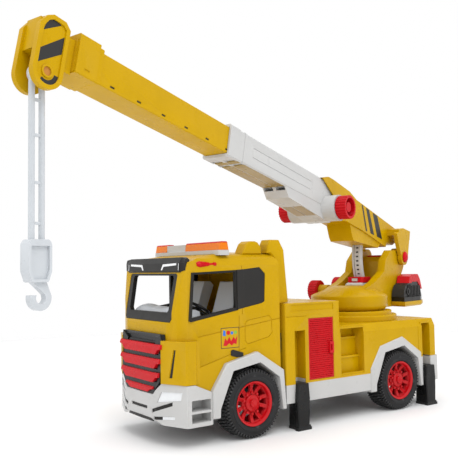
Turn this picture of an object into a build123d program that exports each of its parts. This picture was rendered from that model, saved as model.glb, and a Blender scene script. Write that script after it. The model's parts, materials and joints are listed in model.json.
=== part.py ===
from build123d import *
import os
from math import cos, degrees, pi, radians, sin

# Toy crane truck.  Millimetres, +X to the front of the truck, +Y to its left,
# +Z up.  The origin is on the ground under the turret's slewing axis.

# ---- driving dimensions ------------------------------------------------------
TYRE_R = 40.0
TYRE_WIDTH = 34.0
TYRE_OUTER_Y = 82.9          # outer side of the tyres
RIM_R = 25.0
AXLE_R = 2.5
RUNNING = 0.06               # radial clearance of a shaft in its hole
GAP = 0.35                   # clearance between parts that pass each other
FRONT_AXLE_X = 240.0
REAR_AXLE_X = -13.0

BODY_Y = 80.9                # half width of the body sides
CAB_Y = 76.5                 # half width of the cab sides
WALL = 2.5
SILL_BOTTOM = 33.0
SILL_TOP = 55.0
DECK_Z = 121.0
BOX_TOP = 153.5
BOX_FRONT = 191.0
BOX_REAR = 100.0
BODY_REAR = -90.0

SLEW = 17.1                  # the crane's rest angle to the left
ELEVATION = 11.5             # the boom's rest angle above level
BOOM_Z = 277.4               # height of the boom's centre line over the slewing axis
PIVOT_S = -112.0             # boom hinge, in the turret's own frame
PIVOT_Z = 211.0
RACK_R = 82.0                # radius of the lifting rack about the boom hinge
KNOB_S = 89.5                # extension knobs, in the turret's own frame
KNOB_Z = 276.5
KNOB_R = 16.0
KNOB_SHAFT_R = 3.0
PINION_TEETH = 10
MODULE = 1.5
TRAVEL = 126.0               # how far the inner boom slides back into the sleeve
TIP_U = 557.0                # hook link's pin, along and across the boom
TIP_V = -26.0

DECK_RING_R = 67.5
POST_R = 6.9                 # slewing post
DRUM_R = 55.6
DRUM_BOTTOM = 134.4
DRUM_EDGE = 156.5            # top of the drum's upright flank
DRUM_TOP = 166.0

parts = {}


def save(name, *shapes):
    parts[name] = Compound(children=list(solids_of(*shapes)))


def solids_of(*shapes):
    for shape in shapes:
        yield from shape.solids()


def carve(shape, *names):
    """The shape without what saved parts already fill."""
    for name in names:
        for solid in parts[name].solids():
            shape -= solid
    return shape


# ---- small tools -------------------------------------------------------------
def block(x0, x1, y0, y1, z0, z1):
    return Pos((x0 + x1) / 2, (y0 + y1) / 2, (z0 + z1) / 2) * Box(x1 - x0, y1 - y0, z1 - z0)


def outline(points):
    return make_face(Polyline(*points, close=True))


def side_face(points):
    return outline([(x, 0, z) for x, z in points])


def side_plate(points, y0, y1):
    """A plate whose outline is given in x and z."""
    return Pos(0, y0, 0) * extrude(side_face(points), y1 - y0, dir=(0, 1, 0))


def end_face(points):
    return outline([(0, y, z) for y, z in points])


def end_plate(points, x0, x1):
    """A plate whose outline is given in y and z."""
    return Pos(x0, 0, 0) * extrude(end_face(points), x1 - x0, dir=(1, 0, 0))


def plan_plate(points, z0, z1):
    """A plate whose outline is given in x and y."""
    return extrude(outline([(x, y, z0) for x, y in points]), z1 - z0, dir=(0, 0, 1))


def across(radius, x, z, y0, y1):
    """A round bar along y."""
    return Pos(x, (y0 + y1) / 2, z) * Rot(90, 0, 0) * Cylinder(radius, y1 - y0)


def flip(shape):
    return mirror(shape, about=Plane.XZ)


def both(shape):
    return shape + flip(shape)


def turned(points):
    """A solid of revolution about z from an outline in radius and height."""
    return revolve(outline([(r, 0, z) for r, z in points]), Axis.Z)


def mirrored_points(points):
    """A half outline from the centre line outwards, completed on the other side."""
    return points + [(-a, b) for a, b in reversed(points) if a != 0]


def mirrored_plan(points):
    return points + [(x, -y) for x, y in reversed(points) if y != 0]


def slewed(shape):
    return Rot(0, 0, SLEW) * shape


def on_boom(shape):
    """Boom frame (u along it, w to the left, v across) to the row frame."""
    return slewed(Pos(0, 0, BOOM_Z) * Rot(0, -ELEVATION, 0) * shape)


def boom_uv(s, z):
    """Turret frame to boom frame, in the boom's own upright plane."""
    a = radians(ELEVATION)
    return s * cos(a) + (z - BOOM_Z) * sin(a), -s * sin(a) + (z - BOOM_Z) * cos(a)


# ---- wheels ------------------------------------------------------------------
def tyre():
    half = TYRE_WIDTH / 2
    profile = [(RIM_R, -half + 3), (RIM_R + 2, -half), (36, -half), (TYRE_R - 0.8, -half + 3),
               (TYRE_R, -half + 6), (TYRE_R, half - 6), (TYRE_R - 0.8, half - 3), (36, half),
               (RIM_R + 2, half), (RIM_R, half - 3)]
    return turned(profile)


def rim():
    """A dish with five Y-shaped spokes, a hub boss and ten lug bumps."""
    half = TYRE_WIDTH / 2
    face = half - 9.0
    barrel = turned([(RIM_R - 2.5, -half + 3), (RIM_R, -half + 3), (RIM_R, half - 3),
                     (RIM_R + 0.7, half - 1.6), (RIM_R - 1.5, half - 2.2), (RIM_R - 2.5, half - 4)])
    dish = turned([(0, face - 3), (RIM_R - 2, face - 3), (RIM_R - 2, face + 2.5), (17, face),
                   (0, face + 2)])
    hub = turned([(0, -half + 1), (6.5, -half + 1), (6.5, face), (0, face)])
    cap = turned([(0, face), (9.6, face), (9.6, face + 3.2), (8.6, face + 4.2), (0, face + 4.2)])
    boss = turned([(0, face), (4.6, face), (4.6, face + 6.5), (3.8, face + 7.2), (0, face + 7.2)])
    wheel = barrel + dish + hub + cap + boss
    for k in range(5):
        wide = Rot(0, 0, 72 * k) * window(13, 21.8, 2.6, 5.4, face)
        narrow = Rot(0, 0, 72 * k + 36) * window(12, 21.8, 0.9, 4.2, face)
        wheel -= wide + narrow
    for k in range(10):
        lug = Pos(12.3 * cos(radians(36 * k + 18)), 12.3 * sin(radians(36 * k + 18)), face + 1.6)
        wheel += lug * Cylinder(1.45, 3.6)
    return wheel - Pos(0, 0, -half) * Cylinder(AXLE_R + RUNNING, 2 * (half + face - 1.0))


def window(r0, r1, half0, half1, face):
    return plan_plate([(r0, -half0), (r1, -half1), (r1, half1), (r0, half0)], face - 4, face + 6)


def wheels():
    centre_y = TYRE_OUTER_Y - TYRE_WIDTH / 2
    for end, x in (("front", FRONT_AXLE_X), ("rear", REAR_AXLE_X)):
        for side, turn in (("left", -90), ("right", 90)):
            sign = 1 if side == "left" else -1
            place = Pos(x, sign * centre_y, TYRE_R) * Rot(turn, 0, 0)
            save(f"tyre_{end}_{side}", place * tyre())
            save(f"rim_{end}_{side}", place * rim())
    reach = centre_y + 6.5
    save("axles", *[across(AXLE_R, x, TYRE_R, -reach, reach) for x in (FRONT_AXLE_X, REAR_AXLE_X)])


# ---- chassis and lower body --------------------------------------------------
ARCH_OUTER = [(58, 30), (58, 61), (38.5, 89.5), (-6, 99.5), (-45, 75), (-48.5, 28)]
ARCH_INNER = [(49, 20), (48, 40), (30, 80.5), (-9, 87), (-38, 67), (-43.5, 20)]


def arch_points(points, x):
    return [(x + dx, z) for dx, z in points]


def arches(x):
    ring = side_plate(arch_points(ARCH_OUTER, x), 57, 82.4)
    ring = chamfer(ring.edges().group_by(Axis.Y)[-1], 1.2)
    ring -= side_plate(arch_points(ARCH_INNER, x), 50, 90)
    return both(ring)


def wheel_well(x):
    """The liner that closes the arch inboard of the wheel."""
    outer = side_plate(arch_points([(48, 52), (30.5, 81), (-9, 87.5), (-39.5, 67.3), (-43, 52)], x), 42,
                       56.7)
    room = side_plate(arch_points([(46, 50), (28.5, 78.5), (-8, 85), (-37.8, 65.5), (-41.2, 50)], x), 44,
                      58)
    return outer - room


def chassis():
    """Two rails, cross members that carry the axles, and the floor pan."""
    frame = both(block(-84, 325, 16, 24, 34, 50)) + block(-84, 325, -41.5, 41.5, 50, 53)
    for x in (FRONT_AXLE_X, REAR_AXLE_X):
        frame += block(x - 9, x + 9, -44, 44, 32, 52)
        frame += both(wheel_well(x))
    for x in (300, 150, 60, -70):
        frame += block(x - 4, x + 4, -16, 16, 36, 50)
    for x in (FRONT_AXLE_X, REAR_AXLE_X):
        frame -= across(AXLE_R, x, TYRE_R, -60, 60)
    return frame


SLOT_X = {"front": (159.7, 176.5), "rear": (-78.9, -62.1)}
SLOT_BACK = 65.2             # depth of the slots that the legs fold into
SLOT_TOP = {"front": 119.5, "rear": 115.0}
LEG_BACK = 66.3
PANEL_Y = (BODY_Y + 0.4, 86.4)
PANEL_HALF = 10.3
PANEL_X = {"front": 168.1, "rear": -72.4}


def leg_slot(end, z0, z1):
    x0, x1 = SLOT_X[end]
    return block(x0, x1, SLOT_BACK, 90, z0, z1)


def leg_bracket(end, top):
    """Walls beside and behind the slot that a leg slides in."""
    x0, x1 = SLOT_X[end]
    bracket = block(x0 - 2.5, x1 + 2.5, SLOT_BACK - 2, 79.5, SILL_BOTTOM, top)
    return bracket - leg_slot(end, 20, 80)


def lower_skirt():
    """White sills, rear arches and rear bumper, with the four leg brackets."""
    sill = block(44, 191, -BODY_Y, BODY_Y, SILL_BOTTOM, SILL_TOP) - block(40, 195, -78.4, 78.4, 30, 60)
    sill += both(block(44, 191, 60, 80, SILL_BOTTOM, SILL_BOTTOM + 2))
    sill += both(leg_bracket("front", 60))
    plan = mirrored_plan([(-52, BODY_Y), (-94, BODY_Y), (-100.5, 72), (-100.5, 0)])
    tail = plan_plate(plan, SILL_BOTTOM, 68)
    tail = tail - plan_plate(mirrored_plan([(-40, 78.4), (-93, 78.4), (-98, 71), (-98, 0)]), 30, 66)
    tail = tail - block(-87, -40, -78.4, 78.4, 60, 70)
    tail += both(leg_bracket("rear", 67))
    skirt = sill + tail
    skirt -= both(leg_slot("front", 20, 80) + leg_slot("rear", 20, 80))
    for x in (REAR_AXLE_X, FRONT_AXLE_X):
        skirt -= both(side_plate(arch_points(ARCH_OUTER, x), 50, 90))
    skirt += arches(REAR_AXLE_X)
    return skirt


def leg(end):
    """A stabiliser leg: a shaft in the body's slot, a bowed outer panel and a foot."""
    x0, x1 = SLOT_X[end][0] + 1.1, SLOT_X[end][1] - 1.1
    middle = PANEL_X[end]
    y0, y1 = PANEL_Y
    shaft = block(x0, x1, LEG_BACK, y0 + 0.5, 2, 56)
    shaft -= block(x1 - 1.4, x1 + 1, LEG_BACK + 3, y0 - 3, 30, 52)
    shaft -= block(x0 - 1, x0 + 1.4, LEG_BACK + 3, y0 - 3, 30, 52)
    outline_points = [(PANEL_HALF - 1.6, 55.5), (PANEL_HALF, 38), (PANEL_HALF - 0.4, 24),
                      (PANEL_HALF - 1.8, 2)]
    panel = side_plate([(middle + dx, z) for dx, z in outline_points]
                       + [(middle - dx, z) for dx, z in reversed(outline_points)], y0, y1)
    panel = chamfer(panel.faces().sort_by(Axis.Y)[-1].edges(), 1.2)
    foot = block(x0 - 0.5, x1 + 0.5, LEG_BACK - 0.6, y0 + 0.5, 0, 3.2)
    foot += block(middle - PANEL_HALF - 0.6, middle + PANEL_HALF + 0.6, y0, y1 + 0.9, 0, 3.2)
    foot += Pos(middle, y1 - 1.6, 3.6) * Rot(0, 90, 0) * Cylinder(2.2, 2 * PANEL_HALF - 1)
    return shaft + panel + foot


def stabilisers():
    for end in ("front", "rear"):
        save(f"stabiliser_{end}_left", leg(end))
        save(f"stabiliser_{end}_right", flip(leg(end)))


# ---- front of the truck ------------------------------------------------------
BUMPER_PLAN = [(298, 79.6), (330, 79.6), (346.5, 37), (347.5, 0)]
GRILLE = [(46, 124), (50, 110), (45.5, 72), (31, 57), (0, 57)]


def front_bumper():
    plan = mirrored_plan(BUMPER_PLAN)
    outer = plan_plate(plan, 24, 69.5)
    outer = fillet(outer.edges().filter_by(Axis.Z).sort_by(Axis.Y)[-1:], 3.0)
    outer &= side_plate([(298, 24), (298, 60), (320, 69.5), (348, 69.5), (348, 32), (342, 24)], -85, 85)
    inner = plan_plate(mirrored_plan([(290, 76.8), (328.2, 76.8), (343.8, 35.8), (344.6, 0)]), 20, 67)
    notch = end_plate([(45.8, 71), (45.4, 69.5), (32, 56.6), (-32, 56.6), (-45.4, 69.5), (-45.8, 71)], 330,
                      350)
    bumper = outer - inner - notch
    steps = block(297, 329, 57, 79.6, 24.5, 56)
    steps = steps - block(299.2, 325, 60, 81, 27, 38) - block(299.2, 325, 60, 81, 41, 52)
    steps += block(299.2, 325, 60, 76, 27, 28.5)
    bumper += both(steps)
    bumper -= both(slanted_slot(29, 60, 35.5, 46.5, 4.2) + slanted_slot(33, 63, 28.6, 31.5, 3.6))
    bumper -= both(headlight_outline(0.0)) + centre_slots(0.0)
    bumper -= both(side_plate(arch_points(ARCH_OUTER, FRONT_AXLE_X), 40, 90))
    return bumper


def slanted_slot(y0, y1, z0, z1, high):
    face = [(y0, z0), (y1, z1), (y1, z1 + high), (y0, z0 + high)]
    return end_plate(face, 318, 352)


def centre_slots(shrink):
    upper = end_plate([(-19 + shrink, 38.6), (19 - shrink, 38.6), (19 - shrink, 42.2),
                       (-19 + shrink, 42.2)], 330, 352)
    lower = end_plate([(-30 + shrink, 26), (30 - shrink, 26), (27 - shrink, 29.6), (-27 + shrink, 29.6)],
                      330, 352)
    return upper + lower


def headlight_outline(shrink):
    points = [(39 + shrink, 48.3 + shrink), (71 - shrink, 53 + shrink), (73 - shrink, 62 - shrink),
              (45 + shrink, 60.5 - shrink)]
    return end_plate(points, 318, 352)


def behind_bumper(depth, thick):
    """A skin that follows the bumper's front, set back from it by depth."""
    outer = plan_plate(mirrored_plan([(298, 79.6 - depth), (330 - depth, 79.6 - depth), (346.5 - depth, 37),
                                      (347.5 - depth, 0)]), 24.5, 69)
    back = depth + thick
    inner = plan_plate(mirrored_plan([(290, 79.6 - back), (330 - back, 79.6 - back), (346.5 - back, 37),
                                      (347.5 - back, 0)]), 20, 72)
    return outer - inner


def front_trim():
    save("front_bumper", carve(front_bumper(), "cab_shell"))
    lamps = both(headlight_outline(0.05)) & behind_bumper(1.2, 1.5)
    fog = both(slanted_slot(46, 62.9, 29.7, 31.3, 3.5)) & behind_bumper(0.8, 1.6)
    save("headlamps", carve(lamps + fog, "front_bumper"))
    slots = both(slanted_slot(29.05, 59.95, 35.5, 46.4, 4.1) +
                 slanted_slot(33.1, 45.9, 28.7, 29.8, 3.4)) + centre_slots(0.05)
    dark = slots & behind_bumper(1.4, 1.3)
    return carve(dark, "front_bumper")


def grille():
    """Black grille surround with a ribbed field, stepping forward at the foot."""
    lean = [(338.7, 124), (342.2, 124), (346.6, 57.2), (345.2, 57.2), (338.7, 70)]
    field = end_plate(mirrored_points(list(reversed(GRILLE))), 330, 350) & side_plate(lean, -60, 60)
    for z in (118, 103, 87, 73):
        field -= block(341.3, 350, -40, 40, z - 2.2, z + 2.2)
    horns = both(end_plate([(33, 116), (46, 124), (47.8, 116), (46, 112), (36, 110)], 340, 344.4))
    return field + horns


def grille_bar(z, half, high, reach):
    """One red bar: raised thin ends and a deeper, projecting middle."""
    shape = mirrored_points([(0, z - 0.62 * high), (half - 12, z - 0.62 * high), (half - 5, z - 0.1 * high),
                             (half, z - 0.05 * high), (half, z + 0.42 * high), (half - 13, z + 0.38 * high),
                             (0, z + 0.38 * high)])
    bar = end_plate(shape, 341.0, 341.0 + reach)
    nose = side_plate([(340.5, z - high), (340.8 + reach, z - 0.62 * high), (341.2 + reach, z + 0.1 * high),
                       (342.8, z + high), (340.5, z + high)], -60, 60)
    return bar & nose


def front_grille():
    body = grille()
    bars = [grille_bar(108.5, 49.5, 11.0, 6.5), grille_bar(92.5, 47.5, 11.0, 7.0),
            grille_bar(77.0, 45.0, 11.0, 7.5), grille_bar(62.5, 33.0, 7.0, 7.5)]
    for bar in bars:
        body -= bar
    save("grille", body)
    save("grille_bars", *bars)


def corner_panels():
    """Yellow corner cladding with its slanted black vents."""
    plan = [(343.6, 46.8), (345.2, 47.6), (331.6, 78.6), (328.5, 79.2), (318, 79.2), (316, CAB_Y + 0.02),
            (312, CAB_Y + 0.02), (312, 70), (330, 60), (337.5, 46.8)]
    panel = plan_plate(plan, 70, 117.5) - cab_volume(0.0)
    panel = panel - plan_plate([(312, 40), (330, 60), (312, 72)], 60, 130)
    slit = end_plate([(57.5, 77), (62, 77), (66.5, 108), (63.5, 108)], 320, 352)
    slot = slit & panel
    deep = plan_plate([(343.1, 46), (344.0, 47), (330.6, 77.6), (320, 60)], 60, 120)
    recess = slit - deep
    panel -= recess
    vents = slot & deep & plan_plate([(344.0, 46), (345.0, 48), (331.0, 79), (320, 78), (324, 72),
                                      (338.4, 46)], 60, 120)
    panel -= vents
    save("corner_panels", carve(both(panel), "grille", "grille_bars"))
    return carve(both(vents), "grille")


# ---- cab ---------------------------------------------------------------------
CAB_SIDE = [(196, 57.5), (196, 206), (203, 214.5), (240, 217), (282, 214), (312, 209), (324, 204.5),
            (327.5, 192),
            (337.3, 138), (341.5, 124), (344, 96), (344, 60), (322, 56.8)]
CAB_PLAN = [(196, CAB_Y), (313, CAB_Y), (325, 72.5), (333, 63), (338, 47.5), (338.6, 0)]
CAB_END = [(0, 50), (CAB_Y, 50), (CAB_Y, 201), (73.5, 208), (66, 213.5), (40, 216.6), (0, 217)]
SIDE_WINDOW = [(320.5, 193), (324, 139.4), (322, 138.4), (258, 148.6), (258.6, 195.4)]
QUARTER_PANE = [(249.5, 196), (226, 198.3), (217.5, 190.4), (219, 157.2), (223.3, 155.3), (249.5, 151)]
SCREEN = [(0, 137.4), (53, 137.4), (55.6, 141), (57, 190), (54, 192.3), (0, 192.3)]
SCREEN_HOLE = [(0, 148), (44, 148), (47, 151), (48.6, 187), (46.5, 189.8), (0, 189.8)]


def cab_volume(inset):
    side = side_face(CAB_SIDE)
    plan = outline([(x, y, 0) for x, y in mirrored_plan(CAB_PLAN)])
    end = end_face(mirrored_points(CAB_END))
    if inset:
        side, plan, end = [offset(f, -inset, kind=Kind.INTERSECTION) for f in (side, plan, end)]
    solid = Pos(0, -90, 0) * extrude(side, 180, dir=(0, 1, 0))
    solid &= extrude(plan, 240, dir=(0, 0, 1))
    return solid & Pos(150, 0, 0) * extrude(end, 220, dir=(1, 0, 0))


def screen_slab(points, front, back):
    """A windscreen outline cut out of a slab that leans with the screen."""
    slab = side_plate([(337.4 - front + 0.18, 136.4), (327.4 - front, 192.6), (327.4 - back, 192.6),
                       (337.4 - back, 136.4)], -70, 70)
    return end_plate(mirrored_points(points), 300, 345) & slab


def cab_shell():
    shell = cab_volume(0.0) - cab_volume(WALL)
    shell -= block(199, 341, -70, 70, 40, 62)
    shell -= both(side_plate(SIDE_WINDOW, 60, 90) + side_plate(QUARTER_PANE, 60, 90))
    shell -= end_plate(mirrored_points(SCREEN), 322, 345)
    shell -= both(side_plate(arch_points(ARCH_OUTER, FRONT_AXLE_X), 40, 90))
    shell -= block(340.5, 350, -60, 60, 50, 128)
    shell -= both(block(318, 350, 40, 90, 50, 69.4))
    return shell - both(seams() + door_vent())


def seams():
    """Door gap, belt line and crease grooves in the cab's left side."""
    face = CAB_Y - 0.7
    door = side_plate([(258.2, 60), (259.0, 60), (257.4, 142), (256.6, 142)], face, 90)
    belt = side_plate([(328, 119.2), (328, 120.2), (189, 137.6), (189, 136.6)], face, 90)
    crease = side_plate([(330, 83.0), (330, 84.0), (248, 105.0), (248, 104.0)], face, 90)
    sill = side_plate([(252, 143.5), (252.6, 143.5), (252.6, 200), (252, 200)], face, 90)
    panel = side_plate([(249, 113), (245, 108.5), (213, 115), (208, 120), (209, 137), (213, 140.6),
                        (245, 136.5), (249, 132)], face, 90)
    inner = side_plate([(248.4, 113.4), (244.8, 109.2), (213.4, 115.6), (208.7, 120.3), (209.7, 136.8),
                        (213.3, 139.9), (244.7, 135.9), (248.4, 131.7)], face - 1, 91)
    return door + belt + crease + sill + (panel - inner)


def window_frames():
    """Black surround of the open side window and the closed quarter pane."""
    hole = [(317.6, 190.6), (321.0, 142.6), (261.4, 151.8), (261.6, 192.6)]
    frame = side_plate(SIDE_WINDOW, 71.5, CAB_Y - 0.5) - side_plate(hole, 60, 90)
    pane = side_plate(QUARTER_PANE, 72.5, CAB_Y - 0.5)
    post = block(249.5, 258.2, 71.5, 73.9, 150.2, 195.2)
    return both(frame + pane + post)


def screen_frame():
    frame = screen_slab(SCREEN, 0.6, 6.0) - end_plate(mirrored_points(SCREEN_HOLE), 300, 350)
    return frame


def cab_trim():
    save("cab_shell", cab_shell())
    save("window_frames", window_frames())
    save("screen_frame", screen_frame())
    save("roof_ducts", roof_ducts())
    visor_parts()
    light_bar()
    save("air_horns", both(air_horn()))


def door_vent():
    outline_points = [(252, 95.2), (252.2, 99.4), (266.5, 104), (269.6, 103), (269.4, 97.4), (262, 95)]
    return side_plate(outline_points, CAB_Y - 0.6, CAB_Y + 0.7)


def cab_gap():
    """Dark filler between the cab and the body, above the front arch."""
    gap = side_plate([(192.3, 99), (192.3, 117.8), (195.8, 117.8), (195.8, 86)], 60, 74)
    return gap - side_plate(arch_points(ARCH_OUTER, FRONT_AXLE_X), 40, 90)


def roof_ducts():
    """Two tall air ducts behind the cab and a round vent in front of each."""
    tall = side_plate([(195.8, 118), (195.8, 206.3), (202.8, 214.6), (208, 215), (206, 226), (203, 231.5),
                       (189, 231.5), (181.5, 219), (176, 157), (176, 118)], 52, 70)
    tall = chamfer(tall.faces().sort_by(Axis.Y)[-1].edges(), 1.6)
    tall -= cab_volume(0.0)
    tall -= block(170, 192.2, 40, 90, 110, BOX_TOP + 0.4)
    vent = side_plate([(214, 214), (214, 222), (219, 228), (223, 229.5), (232, 229.5), (237, 226),
                       (243, 214)], 49, 66)
    vent = fillet(vent.edges().filter_by(Axis.Y).group_by(Axis.Z)[-1], 2.0)
    vent = chamfer(vent.faces().sort_by(Axis.Y)[-1].edges(), 1.2)
    return both(tall) + both(vent - cab_volume(0.0))


def visor_parts():
    profile = [(318, 207), (322, 210.5), (331, 210.5), (336.5, 204), (337.5, 195), (334, 192.8),
               (329.5, 193.2), (328, 193.2)]
    body = side_plate(profile, -62, 62)
    tip = [(314, 207.5), (320, 209.5), (328, 209), (331.5, 204), (331, 196), (327, 194.5), (318, 196.5)]
    end = loft([Pos(0, 61, 0) * side_face(profile[:1] + profile[1:7]), Pos(0, 77.5, 0) * side_face(tip)])
    visor = body + both(end) - cab_volume(0.0)
    save("visor", visor)


def light_bar():
    """A white base with an orange lens at each end and a white centre cover."""
    base = plan_plate([(268, -74), (269.5, -75.5), (281.5, -75.5), (283, -74), (283, 74), (281.5, 75.5),
                       (269.5, 75.5), (268, 74)], 212.5, 218.6)
    base += block(269.5, 281.5, -45.4, -0.6, 218.5, 227.0)
    base -= cab_volume(0.0)
    section = [(269, 218.6), (270.6, 227.2), (272, 228.4), (279.2, 228.4), (280.6, 227.2), (282.2, 218.6)]
    lenses = [side_plate(section, -74.6, -45.5), side_plate(section, -0.5, 74.6)]
    save("light_bar_base", base)
    save("light_bar_lenses", *[chamfer(l.edges().filter_by(Axis.Y, reverse=True).group_by(Axis.Z)[-1],
                                       0.8) for l in lenses])


def air_horn():
    horn = Pos(304, CAB_Y - 1.2, 202.2) * Rot(0, 90, 0) * Cone(2.2, 3.6, 13)
    bell = Pos(312.4, CAB_Y - 1.2, 202.2) * Rot(0, 90, 0) * Cone(3.6, 2.2, 4)
    pipe = Pos(293.5, CAB_Y - 1.2, 202.2) * Rot(0, 90, 0) * Cylinder(1.4, 9)
    nut = Pos(290, CAB_Y - 1.2, 202.2) * Rot(0, 90, 0) * Cylinder(2.2, 3.5)
    return (horn + bell + pipe + nut) - cab_volume(0.0)


def cab_interior():
    """Seats on the cab floor, the dashboard and the steering wheel."""
    floor = block(199.2, 318, -73.2, 73.2, 103, 105.5)
    seat = side_plate([(248, 105.5), (250, 132), (282, 138), (286, 131), (282, 105.5)], 16, 60)
    seat += side_plate([(246, 130), (228, 176), (233, 181), (243, 181), (258, 134)], 18, 58)
    seat = fillet(seat.edges().filter_by(Axis.X, reverse=True).group_by(Axis.Z)[-1], 1.5)
    bench = side_plate([(199.2, 105.5), (199.2, 140), (222, 140), (222, 105.5)], -70, 70)
    save("seats", (floor + both(seat) + bench) & cab_volume(WALL + 0.05))
    dash = side_plate([(300, 106), (298, 133), (302, 141), (318, 146.5), (330.6, 143.5), (333.6, 130),
                       (336, 106)], -60, 60)
    dash -= side_plate([(303, 100), (303, 132), (330, 132), (331, 100)], -58, 58)
    pod = side_plate([(296, 136), (298, 148), (304, 150.5), (318, 148), (318, 138)], 22, 56)
    dash = (dash + pod) & cab_volume(WALL + 0.05)
    save("dashboard", carve(dash, "screen_frame"))
    tilt = Pos(289.5, 39, 150.2) * Rot(0, -32, 0)
    wheel = tilt * Torus(14.5, 1.7)
    for k in range(3):
        wheel += tilt * Rot(0, 0, 120 * k + 60) * Pos(7, 0, 0) * Box(14.4, 3.4, 1.8)
    wheel += tilt * Cylinder(4.2, 3.2)
    column = tilt * Pos(0, 0, -7.5) * Cylinder(2.2, 14)
    save("steering_wheel", carve(wheel + column, "dashboard"))


# ---- body behind the cab -----------------------------------------------------
DOOR_X = (111.8, 153.7)
DOOR_Z = (58.0, 133.4)


def body_shell():
    front = block(BOX_REAR, BOX_FRONT, -BODY_Y, BODY_Y, SILL_TOP, BOX_TOP)
    front = chamfer(front.edges().filter_by(Axis.Z) + front.edges().filter_by(Axis.X).group_by(Axis.Z)[-1],
                    1.0)
    rear = end_plate(mirrored_points([(0, SILL_TOP), (BODY_Y, SILL_TOP), (BODY_Y, 111), (76, DECK_Z),
                                      (0, DECK_Z)]), BODY_REAR, BOX_REAR + 1)
    shell = front + rear
    shell -= block(BOX_REAR + WALL, BOX_FRONT - WALL, -78.4, 78.4, 50, BOX_TOP - WALL)
    room = end_plate(mirrored_points([(0, 50), (78.4, 50), (78.4, 110), (74, DECK_Z - WALL),
                                      (0, DECK_Z - WALL)]), BODY_REAR + WALL, BOX_REAR + 5)
    shell -= room
    shell += both(ladder_walls())
    for end, foot in (("front", 60.2), ("rear", 68.4)):
        x0, x1 = SLOT_X[end]
        shell += both(block(x0 - 2, x1 + 2, SLOT_BACK - 2, 80, foot, SLOT_TOP[end] + 2))
        shell -= both(leg_slot(end, 50, SLOT_TOP[end]))
    shell += both(locker_walls())
    shell -= both(locker_room())
    shell -= both(ladder_recess())
    shell += both(ladder_lips())
    shell -= both(block(156.9, 179.3, SLOT_BACK - 2.3, 79.7, 50, 60.2))
    shell -= Pos(0, 0, DECK_Z) * Cylinder(POST_R, 10)
    shell -= both(block(BODY_REAR - 1, -52, 60, 90, 50, 68.2)) + block(BODY_REAR - 1, -60, -90, 90, 50,
                                                                       68.2)
    shell -= both(side_plate(arch_points(ARCH_OUTER, REAR_AXLE_X), 50, 90))
    shell -= both(side_plate(arch_points(ARCH_OUTER, FRONT_AXLE_X), 50, 90))
    shell -= both(body_grooves())
    return shell


def locker_walls():
    return block(107.5, 156.2, 46, 79, SILL_TOP, 138)


def locker_room():
    x0, x1 = DOOR_X
    z0, z1 = DOOR_Z
    room = block(x0 + 1.6, x1 - 1.6, 48, 76.5, z0 + 1.6, z1 - 1.6)
    return room + block(x0 - 0.35, x1 + 0.35, 76.4, 85, z0 - 0.35, z1 + 0.35)


STEPS = [(57.5, 80.5, 70.0), (80.5, 104.5, 64.5), (104.5, 117.0, 59.2)]


def ladder_recess():
    """The space over three steps that climb into the body's side."""
    recess = block(56.5, 98.8, STEPS[0][2], 85, STEPS[0][0], STEPS[0][1])
    for z0, z1, back in STEPS[1:]:
        recess += block(56.5, 98.8, back, 85, z0, z1)
    return recess


def ladder_walls():
    """Walls behind the steps, and the lip along each step."""
    walls = block(54.5, 100.8, STEPS[0][2] - 2, 80, STEPS[0][0] - 1, STEPS[0][1])
    for z0, z1, back in STEPS[1:]:
        walls += block(54.5, 100.8, back - 2, 80, z0 - 2, z1 + 2)
    return walls


def ladder_lips():
    lips = block(56, 99.3, 78.2, 79.8, STEPS[0][0] - 0.5, STEPS[0][0] + 2.4)
    for _, top, back in STEPS[:2]:
        lips += block(56, 99.3, back - 1, back + 1.6, top - 2.6, top)
    return lips


def body_grooves():
    face = BODY_Y - 0.8
    panel = block(111, 181.5, face, 85, 143.5, 151.3)
    seam = block(156.5, 192, face + 0.2, 85, 136.6, 137.3)
    rear = block(-54, -53.3, face + 0.2, 85, 69, 111)
    return panel + seam + rear


def roller_door():
    """Ribbed locker door with its latch handle; it turns on its front edge."""
    x0, x1 = DOOR_X
    z0, z1 = DOOR_Z
    door = block(x0, x1, 76.8, 79.2, z0, z1)
    door += block(x0, x0 + 1.6, 79, 80.4, z0, z1) + block(x1 - 1.6, x1, 79, 80.4, z0, z1)
    door += block(x0, x1, 79, 80.4, z0, z0 + 1.6) + block(x0, x1, 79, 80.4, z1 - 1.6, z1)
    pitch = (z1 - z0 - 3.2) / 28
    for k in range(28):
        z = z0 + 1.6 + pitch * (k + 0.5)
        slat = [(79.1, z - pitch / 2 + 0.25), (80.3, z - pitch / 2 + 0.6), (80.3, z + pitch / 2 - 0.9),
                (79.1, z + pitch / 2 - 0.25)]
        door += end_plate(slat, x0 + 1.5, x1 - 1.5)
    handle = block(x0 + 0.6, x0 + 7.5, 79, 82.6, 88.5, 103) - block(x0 + 3.4, x0 + 6.2, 80.8, 83, 91.5,
                                                                    99.5)
    return door + handle


def deck_ring():
    bore = POST_R + 0.4
    return turned([(bore, DECK_Z), (DECK_RING_R, DECK_Z), (DECK_RING_R, 127.6), (DECK_RING_R - 1, 128.6),
                   (60.5, 128.6), (60.5, 133.4), (59.7, 134.1), (bore, 134.1)])


# ---- turret ------------------------------------------------------------------
def yoke_plate(t0, t1):
    """One arm of the yoke, from the drum's flank up to the boom hinge."""
    arm = side_plate([(-122.5, 219), (-126, 205), (-125, 197), (-121.5, 192), (-112, 181), (-104, 172),
                      (-104, DRUM_BOTTOM + 8),
                      (-30, DRUM_BOTTOM + 8), (12, DRUM_TOP - 1), (-20, DRUM_TOP + 8), (-52, 189),
                      (-58, 206), (-78, 221.5), (-104, 221.5)], t0, t1)
    boss = across(14, PIVOT_S, PIVOT_Z, t0, t1)
    return arm + boss


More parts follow.
